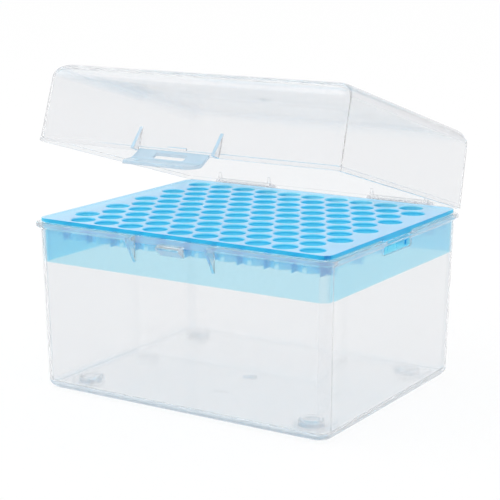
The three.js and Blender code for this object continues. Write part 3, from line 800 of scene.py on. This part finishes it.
def paint_base(piece, base, latch, hinge, look, places):
    """Gussets, catch, hinge parts, flange and foot edge, with painted shade on the foot's front
    and painted light on its sides, and the upright corners last, with a painted highlight.
    """
    middle, normal = read(piece.data.polygons, "center"), read(piece.data.polygons, "normal")
    x, y, z = middle.T
    half = places.half_gusset + MARGIN
    gusset = (np.abs(x - places.gusset_left) < half) | (np.abs(x - places.gusset_right) < half)
    catch = np.abs(x - places.catch_middle) < latch.catch / 2 + MARGIN
    front = y < places.base_wall_y - 0.15 * MM
    inner, outer = places.clip_room
    ear = hinge.ear + MARGIN
    hinged = (np.abs(x) > inner - ear) & (np.abs(x) < outer + ear)
    hinged &= y > places.base_depth / 2 + 0.15 * MM
    brim = z > places.base_top - base.flange_height - base.flange_slope / 2
    outwards = (middle * normal)[:, :2].sum(1) > 0.15 * np.hypot(x, y)
    foot = outwards & (z < base.foot)
    paint_frost(piece, [
        (front & gusset, 0.05, 0.35, 1),
        (front & catch, 0.12, 0.4, 0.5),
        (hinged, 0.4, 0.8, 1),
        (brim & (y > places.base_depth / 2 - base.wall), 0.3, 0.8, 1),
        (brim & outwards, 0.25, 0.25, 0.5),
        # Painted shade: the front of the foot edge gets a darker, bluer frost, and its sides a
        # paler one as painted light, as if lit from the side.
        (foot & (normal[:, 1] < -0.5), 0.45, 0.05, 0.3),
        (foot, 0.35, 0.7, 1),
        # Painted highlight: the upright corners get a pale frost, a lighter strip where a
        # reflection would run.
        (np.abs(normal[:, :2]).min(1) > 0.15, 0.15, 0.3, 1),
    ], is_rounded(normal) & (z < places.base_top - base.flange_height - base.flange_slope), look)


def build_base(tools):
    base, rack, lid = tools.base, tools.rack, tools.lid
    latch, hinge, places = tools.latch, tools.hinge, Places(tools)
    boss_top = base.floor + base.boss_height
    bosses = foot_posts(base, places, base.boss, base.floor / 2, boss_top)
    recesses = foot_posts(base, places, base.recess, -MM, base.recess_depth)
    piece = fused("base_moulding", base_shell(base, places), [
        ("DIFFERENCE", flange_cuts(base, places), False),
        ("DIFFERENCE", rim_notches(rack, places), False),
        ("DIFFERENCE", wall_windows(base, rack, places), False),
        ("UNION", bosses, False),
        ("UNION", gate_disc(lid, base.floor, base.floor / 2), False),
        ("UNION", base_gussets(base, latch, places), True),
        ("UNION", catch_nub(base, latch, places), True),
        ("UNION", hinge_ears(base, hinge, places), True),
        ("UNION", hinge_rods(hinge, places), False),
        ("DIFFERENCE", recesses, False),
    ])
    paint_base(piece, base, latch, hinge, tools.clear, places)
    return piece


# ---------- the lid, worked out shut ----------


def lid_shell(lid, places):
    """Walls, top and rim bead: the lid before its fittings."""
    rim, top = places.lid_rim, places.lid_rim + lid.height
    ceiling = top - lid.top
    bead = rim + lid.bead_height
    inner_corner = lid.corner - lid.wall
    closing = 16 * MM
    corners = [
        (closing, ceiling, inner_corner),
        (lid.wall + lid.taper * (ceiling - rim), ceiling, inner_corner),
        (lid.wall, rim, inner_corner),
        (-lid.bead, rim, lid.corner + lid.bead),
        (-lid.bead, bead, lid.corner + lid.bead),
        (lid.taper * (bead + lid.bead - rim), bead + lid.bead, lid.corner),
        (lid.taper * lid.height, top, lid.corner),
        (closing, top, lid.corner),
    ]
    small = np.array([0.2, 0.25, 0.06, 0.06]) * MM
    radii = [0, lid.edge - lid.wall, *small, lid.edge, 0]
    return loft(places.lid_width, places.lid_depth, softened(corners, radii, 14), 24)


def lid_gussets(lid, latch, places):
    """Above the lid's rim: level at the foot, and sloping back to the wall above."""
    wall, rim = places.lid_wall_y, places.lid_rim
    return latch_gussets([
        (wall + lid.wall / 2, rim),
        (wall, rim),
        (wall - latch.lid_reach, rim + 0.2 * MM),
        (wall + lid.taper * latch.lid_rise, rim + latch.lid_rise),
        (wall + lid.wall / 2, rim + latch.lid_rise),
    ], places)


def latch_ridge(lid, latch, places):
    """A low ridge with rounded edges on the wall above the tab's slot."""
    front, back = places.lid_wall_y - 0.35 * MM, places.lid_wall_y + lid.wall / 2
    low, high = places.lid_rim + 1.1 * MM, places.lid_rim + 2.2 * MM
    middle, half = places.catch_middle, latch.ridge / 2
    return block((middle - half, front, low), (middle + half, back, high), 0.3 * MM)


def tab_strip(lid, latch, places):
    """The tab's side view carried along X: a strip that slopes out from the rim and bends."""
    wall, rim = places.lid_wall_y, places.lid_rim
    start, knee, tip = wall + lid.wall / 2, wall - latch.knee_out, wall - latch.tab_out
    root_height, knee_height = 0.9 * MM, 1.3 * MM
    corners = [
        (start, rim),
        (wall, rim),
        (knee, rim - latch.knee_down),
        (tip, rim - latch.tab_down),
        (tip, rim - latch.tab_down + latch.thickness),
        (knee, rim - latch.knee_down + knee_height),
        (wall, rim + root_height),
        (start, rim + root_height),
    ]
    radii = np.array([0, 0.6, 3.2, 0.4, 0.5, 2.2, 0.8, 0]) * MM
    return prism(softened(corners, radii, 8), places.tab_left, places.tab_right)


def upright(outline, latch, places):
    """An outline seen from above, carried up through the tab's height."""
    low, high = places.lid_rim - latch.tab_down - MM, places.lid_rim + 2 * MM
    return prism(outline, low, high, axis="Z")


def tab_outline(lid, latch, places):
    """The tab seen from above, with its two round corners, carried up through its height."""
    wall = places.lid_wall_y
    tip = wall - latch.tab_out
    corners = [
        (places.tab_right, wall + lid.wall), (places.tab_left, wall + lid.wall),
        (places.tab_left, tip), (places.tab_right, tip),
    ]
    return upright(softened(corners, np.array([0, 0, 1.4, 4.8]) * MM, 10), latch, places)


def tab_slot(latch, places):
    """The slot through the tab, which drops over the catch."""
    near = places.lid_wall_y - latch.slot_near
    far = near - latch.slot_width
    left, right = places.tab_middle - latch.slot / 2, places.tab_middle + latch.slot / 2
    corners = [(left, far), (right, far), (right, near), (left, near)]
    return upright(softened(corners, [0.7 * MM] * 4, 6), latch, places)


def hinge_clips(places):
    """Most of a ring about each rod, from its outer circle to its inner one, ending in a tail
    that stops the lid when it is open."""
    outline = np.concatenate([
        hinge_arc(places.clip_outside, 165, -46, 40),
        hinge_arc(places.clip_tail, -58, -70, 3),
        hinge_arc(places.clip_inside, -70, 165, 40),
    ])
    return side_prisms(outline, places.clip)


def clip_webs(lid, places, height, *reaches):
    """Webs from the lid's back wall to the tops of the clips. A web starts on the rim where a
    circle of radius r about the hinge line meets it: sqrt(r^2 - h^2) in front of that line,
    with the rim at height h above it."""
    y, z, sunk = HINGE_PLACE.y, HINGE_PLACE.z, 0.1 * MM
    rim, back = places.lid_rim, places.lid_depth / 2
    foot = y - math.sqrt((places.clip_inside + sunk) ** 2 - (rim - z) ** 2)
    top = hinge_arc(places.clip_outside - sunk, 114, 114, 0)[0]
    wall = back - lid.wall / 2
    outline = [(wall, rim), (foot, rim), top, (back, rim + height), (wall, rim + height)]
    return side_prisms(outline, *reaches)


def open_lid(piece):
    """The lid turned about the hinge line from shut to where it stands at rest."""
    to_hinge = Matrix.Translation(HINGE_PLACE)
    turn = Matrix.Rotation(LID_OPEN, 4, Vector(HINGE["axis"]))
    piece.data.transform(to_hinge @ turn @ to_hinge.inverted())


def paint_lid(piece, lid, look, places):
    """Latch tab, hinge parts and the rim bead, which is clearer at the front and sides."""
    middle, normal = read(piece.data.polygons, "center"), read(piece.data.polygons, "normal")
    y, z = middle[:, 1], middle[:, 2]
    brim = z < places.lid_rim + lid.bead_height + lid.bead
    paint_frost(piece, [
        (y < places.lid_wall_y - 0.35 * MM, 0.75, 0.5, 0),
        (y > places.lid_depth / 2 + 0.3 * MM, 0.35, 0.8, 1),
        (brim & (y > places.lid_depth / 2 - lid.wall - 0.2 * MM), 0.3, 0.8, 1),
        (brim, 0.15, 0.5, 1),
    ], is_rounded(normal), look)


def build_lid(tools):
    lid, latch, hinge, places = tools.lid, tools.latch, tools.hinge, Places(tools)
    ceiling = places.lid_rim + lid.height - lid.top
    half = places.half_gusset
    ends = [(x - half, x + half) for x in (hinge.inner, hinge.outer)]
    tab = fused("tab", tab_strip(lid, latch, places), [
        ("INTERSECT", tab_outline(lid, latch, places), False),
        ("DIFFERENCE", tab_slot(latch, places), False),
    ])
    piece = fused("lid_moulding", lid_shell(lid, places), [
        ("UNION", gate_disc(lid, ceiling, lid.top / 2, -1), False),
        ("UNION", lid_gussets(lid, latch, places), True),
        ("UNION", shape_of(tab), False),
        ("UNION", latch_ridge(lid, latch, places), True),
        ("UNION", hinge_clips(places), True),
        ("UNION", clip_webs(lid, places, hinge.gusset_rise / 2, places.clip), False),
        ("UNION", clip_webs(lid, places, hinge.gusset_rise, *ends), True),
    ])
    paint_lid(piece, lid, tools.clear, places)
    open_lid(piece)
    return piece


# ---------- finishes ----------


def node_group(name, inputs, outputs):
    """An empty group with a place and some numbers going in, and numbers coming out."""
    group = bpy.data.node_groups.new(name, "ShaderNodeTree")
    group.interface.new_socket("Place", in_out="INPUT", socket_type="NodeSocketVector")
    for label, value in inputs:
        socket = group.interface.new_socket(label, in_out="INPUT", socket_type="NodeSocketFloat")
        socket.default_value = value
    for label in outputs:
        group.interface.new_socket(label, in_out="OUTPUT", socket_type="NodeSocketFloat")
    return group, group.nodes.new("NodeGroupInput").outputs, group.nodes.new("NodeGroupOutput")


def feed(node, inputs):
    """Link or set inputs, each given by its name or number. A colour has three parts here."""
    for key, value in inputs.items():
        socket = node.inputs[key]
        if isinstance(value, bpy.types.NodeSocket):
            node.id_data.links.new(value, socket)
        else:
            socket.default_value = (*value, 1) if socket.type == "RGBA" else value


def add_node(tree, kind, inputs=None, **settings):
    """A node of a kind, with its settings and its inputs."""
    node = tree.nodes.new(kind)
    for key, value in settings.items():
        setattr(node, key, value)
    feed(node, inputs or {})
    return node


def maths(tree, operation, first, second=0):
    return add_node(tree, "ShaderNodeMath", {0: first, 1: second}, operation=operation).outputs[0]


def product(tree, first, *others):
    for other in others:
        first = maths(tree, "MULTIPLY", first, other)
    return first


def noise(tree, place, scale, detail):
    inputs = {"Vector": place, "Scale": scale, "Detail": detail}
    return add_node(tree, "ShaderNodeTexNoise", inputs).outputs["Fac"]


def ramp(tree, value, start, stop, low=0, high=1):
    """From low to high as the value goes from start to stop."""
    inputs = {"Value": value, "From Min": start, "From Max": stop, "To Min": low, "To Max": high}
    return add_node(tree, "ShaderNodeMapRange", inputs).outputs[0]


def mixed_shader(tree, factor, first, second):
    """The first shader at factor 0, and the second at factor 1."""
    return add_node(tree, "ShaderNodeMixShader", {0: factor, 1: first, 2: second}).outputs[0]


def mixed_colour(tree, factor, first, second, blend="MIX"):
    """The first colour at factor 0, and the second blended over it at factor 1."""
    inputs = {"Factor": factor, "A": first, "B": second}
    mix = add_node(tree, "ShaderNodeMix", inputs, data_type="RGBA", blend_type=blend)
    return mix.outputs["Result"]


def painted(tree, name):
    """The number that paint() gave the face or the point."""
    return add_node(tree, "ShaderNodeAttribute", attribute_name=name).outputs["Fac"]


def facing(tree):
    """0 for a surface seen straight on, rising to 1 for one seen edge on."""
    return add_node(tree, "ShaderNodeLayerWeight", {"Blend": 0.5}).outputs["Facing"]


def backfacing(tree):
    return add_node(tree, "ShaderNodeNewGeometry").outputs["Backfacing"]


def flow_marks_group():
    """Cloudy marks and ripples that the molten plastic leaves as it runs out from the gate."""
    group, enter, leave = node_group(
        "Flow marks", [("Scale", 30), ("Strength", 0.5)], ["Cloud", "Ripple"]
    )
    place, strength = enter["Place"], enter["Strength"]
    cloud = noise(group, place, enter["Scale"], 2.5)
    warp = product(group, cloud, 0.02)
    shift = add_node(group, "ShaderNodeCombineXYZ", {0: warp, 2: warp}).outputs[0]
    moved = add_node(group, "ShaderNodeVectorMath", {0: place, 1: shift}, operation="ADD")
    far = add_node(group, "ShaderNodeVectorMath", {0: moved.outputs[0]}, operation="LENGTH")
    ripple = maths(group, "SINE", product(group, far.outputs["Value"], RIPPLES))
    feed(leave, {
        "Cloud": product(group, cloud, strength),
        "Ripple": product(group, ripple, product(group, cloud, 0.5), strength),
    })
    return group


def handling_marks_group():
    """Fine scratches in two directions, broken up so that they come and go."""
    group, enter, leave = node_group("Handling marks", [("Strength", 0.5)], ["Scratches"])
    place, lines = enter["Place"], []
    for angle, stretch in ((0.5, (900, 22, 22)), (-0.9, (26, 1100, 26))):
        inputs = {"Vector": place, "Rotation": (angle, angle / 2, angle), "Scale": stretch}
        mapping = add_node(group, "ShaderNodeMapping", inputs)
        lines.append(ramp(group, noise(group, mapping.outputs[0], 1, 1), 0.68, 0.76))
    patches = ramp(group, noise(group, place, 45, 2), 0.5, 0.65)
    scratches = product(group, maths(group, "MAXIMUM", *lines), patches, enter["Strength"])
    feed(leave, {"Scratches": scratches})
    return group


def moulded_surface(tree, shaders, look, cloud_scale):
    """Flow marks and scratches on the colour, gloss and relief of each (shader, colour)."""
    place = add_node(tree, "ShaderNodeTexCoord").outputs["Object"]
    flow = bpy.data.node_groups.get("Flow marks") or flow_marks_group()
    inputs = {"Place": place, "Scale": cloud_scale, "Strength": look.haze}
    flowing = add_node(tree, "ShaderNodeGroup", inputs, node_tree=flow).outputs
    marks = bpy.data.node_groups.get("Handling marks") or handling_marks_group()
    inputs = {"Place": place, "Strength": SCRATCH_STRENGTH}
    scratches = add_node(tree, "ShaderNodeGroup", inputs, node_tree=marks).outputs["Scratches"]
    rough = maths(tree, "ADD", product(tree, flowing["Cloud"], look.roughness), look.roughness)
    rough = maths(tree, "ADD", rough, product(tree, scratches, 0.15))
    height = maths(tree, "SUBTRACT", flowing["Ripple"], scratches)
    inputs = {"Strength": 0.15, "Distance": RELIEF, "Height": height}
    bump = add_node(tree, "ShaderNodeBump", inputs)
    for shader, tint in shaders:
        darker = mixed_colour(tree, 1, tint, [0.985] * 3, "MULTIPLY")
        feed(shader, {
            "Base Color": mixed_colour(tree, flowing["Cloud"], tint, darker),
            "Roughness": rough,
            "Normal": bump.outputs["Normal"],
        })


def new_material(name):
    """A material, its nodes, its first shader and its output."""
    material = bpy.data.materials.new(name)
    material.use_nodes = True
    tree = material.node_tree
    return material, tree, tree.nodes["Principled BSDF"], tree.nodes["Material Output"]


def depth_tint(tree, look):
    """The tint that grows with the length of a ray's path inside."""
    inputs = {"Color": look.depth_tint, "Density": look.depth}
    return add_node(tree, "ShaderNodeVolumeAbsorption", inputs).outputs[0]


def clear_plastic(look):
    """A clear plastic that bends light as glass does, with frosted parts. It is slightly
    cloudy, so from inside each face lets a share of the light straight out, and none stays
    trapped in the walls."""
    if "Clear plastic" in bpy.data.materials:
        return bpy.data.materials["Clear plastic"]
    material, tree, outside, leave = new_material("Clear plastic")
    feed(outside, {"Transmission Weight": look.pass_through, "IOR": CLEAR_IOR})
    frost = add_node(tree, "ShaderNodeBsdfPrincipled")
    inside = add_node(tree, "ShaderNodeBsdfPrincipled", {
        "Base Color": (1, 1, 1), "Transmission Weight": 1, "IOR": CLEAR_IOR, "Roughness": 0,
    })
    through = add_node(tree, "ShaderNodeBsdfTransparent")
    leaking = mixed_shader(tree, painted(tree, "Leak"), inside.outputs[0], through.outputs[0])
    turned = ramp(tree, facing(tree), 0.35, 0.9, 0, look.edge_on)
    round_edge = product(tree, painted(tree, "Rounded"), turned)
    frosted = maths(tree, "MAXIMUM", painted(tree, "Frosted"), round_edge)
    skin = mixed_shader(tree, frosted, outside.outputs[0], frost.outputs[0])
    surface = mixed_shader(tree, backfacing(tree), skin, leaking)
    feed(leave, {"Surface": surface, "Volume": depth_tint(tree, look)})
    frost_tint = mixed_colour(tree, painted(tree, "Bloom"), look.frost, look.bloom)
    moulded_surface(tree, [(outside, look.tint), (frost, frost_tint)], look, 35)
    return material


def blue_plastic(look):
    """A tinted plastic that scatters part of the light at its surface, from the share painted
    on a face seen straight on to a greater share seen edge on. The rest goes straight through."""
    material, tree, skin, leave = new_material("Blue plastic")
    scatter = painted(tree, "Scatter")
    most = maths(tree, "MAXIMUM", scatter, look.edge_on)
    outside = maths(tree, "SUBTRACT", 1, backfacing(tree))
    seen = product(tree, outside, ramp(tree, facing(tree), 0, 1, scatter, most))
    through = add_node(tree, "ShaderNodeBsdfTransparent")
    surface = mixed_shader(tree, seen, through.outputs[0], skin.outputs[0])
    feed(leave, {"Surface": surface, "Volume": depth_tint(tree, look)})
    # Painted shade: the tubes' walls are darkest by the plate and turn lighter further down,
    # partly for the thinner plastic and partly as painted shade under the plate.
    painted_shade_fades = ramp(tree, painted(tree, "Depth"), look.fade / 5, look.fade)
    walls = mixed_colour(tree, painted_shade_fades, look.thick_and_shaded_tint, look.thin_and_lit_tint)
    inner = maths(tree, "GREATER_THAN", scatter, (look.skirt + look.tubes) / 2)
    tint = mixed_colour(tree, inner, look.tint, walls)
    # Ribs and rim take the deep tint, the holes' rounded edges the lighter tint as a painted
    # highlight, and the plate's top its matte tint.
    tints = (("Thick", look.thick_and_shaded_tint), ("Edge", look.thin_and_lit_tint), ("Top", look.top_tint))
    for name, over in tints:
        tint = mixed_colour(tree, painted(tree, name), tint, over)
    moulded_surface(tree, [(skin, tint)], look, 60)
    return material


# ---------- the stage ----------


def seen_by_eye(tree):
    """1 for rays from the camera, also by way of glass or a gloss, and 0 for light's own rays."""
    ray = add_node(tree, "ShaderNodeLightPath")
    seen = maths(tree, "MAXIMUM", ray.outputs["Is Camera Ray"], ray.outputs["Is Transmission Ray"])
    return maths(tree, "MAXIMUM", seen, ray.outputs["Is Glossy Ray"])


def make_floor(look):
    """A square of pale paper just under the box. It is seen nearly white, and keeps a shadow."""
    low = -0.5 * MM
    corners = [(-1, -1, low), (1, -1, low), (1, 1, low), (-1, 1, low)]
    points = np.array(corners) * (STAGE_HALF, STAGE_HALF, 1)
    shape = Shape(points, [np.array([[0, 1, 2, 3]])])
    floor = add_object("stage_floor", mesh_of("stage_floor", shape))
    material, tree, paper, leave = new_material("Studio paper")
    feed(paper, {"Base Color": [look.floor] * 3, "Roughness": 1, "Specular IOR Level": 0})
    white = add_node(tree, "ShaderNodeEmission")
    glow = product(tree, seen_by_eye(tree), look.glow)
    feed(leave, {"Surface": mixed_shader(tree, glow, paper.outputs[0], white.outputs[0])})
    floor.data.materials.append(material)


def make_world(look):
    """Even daylight from all round, which is seen as plain white."""
    world = bpy.data.worlds.new("Studio")
    bpy.context.scene.world = world
    world.use_nodes = True
    tree = world.node_tree
    level = ramp(tree, seen_by_eye(tree), 0, 1, look.daylight, 1)
    feed(tree.nodes["Background"], {"Color": (1, 1, 1), "Strength": level})


def aimed(name, data, place, aim):
    """An object at a place, looking along a direction."""
    holder = add_object(name, data)
    holder.location = place
    holder.rotation_euler = Vector(aim).to_track_quat("-Z", "Y").to_euler()
    return holder


def make_lamp(look):
    lamp = bpy.data.lights.new("Softbox", "AREA")
    lamp.shape, lamp.size, lamp.energy = "SQUARE", 1, look.lamp
    aimed("Softbox", lamp, LAMP_PLACE, LAMP_AIM)


def make_camera():
    camera = bpy.data.cameras.new("Camera")
    camera.sensor_width, camera.lens = 36, CAMERA_LENS
    camera.clip_start, camera.clip_end = 0.01, 20
    bpy.context.scene.camera = aimed("Camera", camera, CAMERA_PLACE, CAMERA_AIM)


def make_stage(look):
    make_camera()
    make_floor(look)
    make_world(look)
    make_lamp(look)
    scene = bpy.context.scene
    scene.view_settings.view_transform = "Standard"
    cycles = scene.cycles
    cycles.max_bounces = cycles.transmission_bounces = cycles.transparent_max_bounces = 96
    cycles.glossy_bounces = cycles.diffuse_bounces = 24
    cycles.blur_glossy = 0


# ---------- the add-on ----------


class TipBoxTools(bpy.types.PropertyGroup):
    rack: PointerProperty(type=RackSizes)
    base: PointerProperty(type=BaseSizes)
    lid: PointerProperty(type=LidSizes)
    latch: PointerProperty(type=LatchSizes)
    hinge: PointerProperty(type=HingeSizes)
    clear: PointerProperty(type=ClearPlastic)
    blue: PointerProperty(type=BluePlastic)
    stage: PointerProperty(type=StageLook)


class TIPBOX_OT_base(bpy.types.Operator):
    """Build the clear base with its flange, feet, catch and hinge rods"""
    bl_idname = "tipbox.base"
    bl_label = "Base"

    def execute(self, context):
        tools = context.scene.tip_box
        piece = build_base(tools)
        give(piece, clear_plastic(tools.clear))
        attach(piece, "box")
        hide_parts("base_box")
        return {"FINISHED"}


class TIPBOX_OT_rack(bpy.types.Operator):
    """Build the blue rack with its holes, tubes, ribs and skirt"""
    bl_idname = "tipbox.rack"
    bl_label = "Rack"

    def execute(self, context):
        tools = context.scene.tip_box
        piece = build_rack(tools)
        give(piece, blue_plastic(tools.blue))
        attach(piece, "box")
        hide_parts("tip_rack")
        return {"FINISHED"}


class TIPBOX_OT_lid(bpy.types.Operator):
    """Build the clear lid with its latch tab and hinge clips, and open it"""
    bl_idname = "tipbox.lid"
    bl_label = "Lid"

    def execute(self, context):
        tools = context.scene.tip_box
        piece = build_lid(tools)
        give(piece, clear_plastic(tools.clear))
        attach(piece, "lid")
        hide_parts("lid")
        return {"FINISHED"}


class TIPBOX_OT_stage(bpy.types.Operator):
    """Set up the floor, the light and the camera"""
    bl_idname = "tipbox.stage"
    bl_label = "Stage"

    def execute(self, context):
        make_stage(context.scene.tip_box.stage)
        return {"FINISHED"}


class TIPBOX_PT_panel(bpy.types.Panel):
    bl_label = "Pipette tip box"
    bl_idname = "TIPBOX_PT_panel"
    bl_space_type = "VIEW_3D"
    bl_region_type = "UI"
    bl_category = "Tip Box"

    def draw(self, context):
        for operator in OPERATORS:
            self.layout.operator(operator.bl_idname)


OPERATORS = (TIPBOX_OT_base, TIPBOX_OT_rack, TIPBOX_OT_lid, TIPBOX_OT_stage)
GROUPS = (
    RackSizes, BaseSizes, LidSizes, LatchSizes, HingeSizes, ClearPlastic, BluePlastic,
    StageLook, TipBoxTools,
)


def register():
    for kind in (*GROUPS, *OPERATORS, TIPBOX_PT_panel):
        bpy.utils.register_class(kind)
    bpy.types.Scene.tip_box = PointerProperty(type=TipBoxTools)


def unregister():
    del bpy.types.Scene.tip_box
    for kind in reversed((*GROUPS, *OPERATORS, TIPBOX_PT_panel)):
        bpy.utils.unregister_class(kind)


def main():
    register()
    bpy.ops.tipbox.base()
    bpy.ops.tipbox.rack()
    bpy.ops.tipbox.lid()
    bpy.ops.tipbox.stage()
    bpy.context.view_layer.update()


if __name__ == "__main__":
    main()
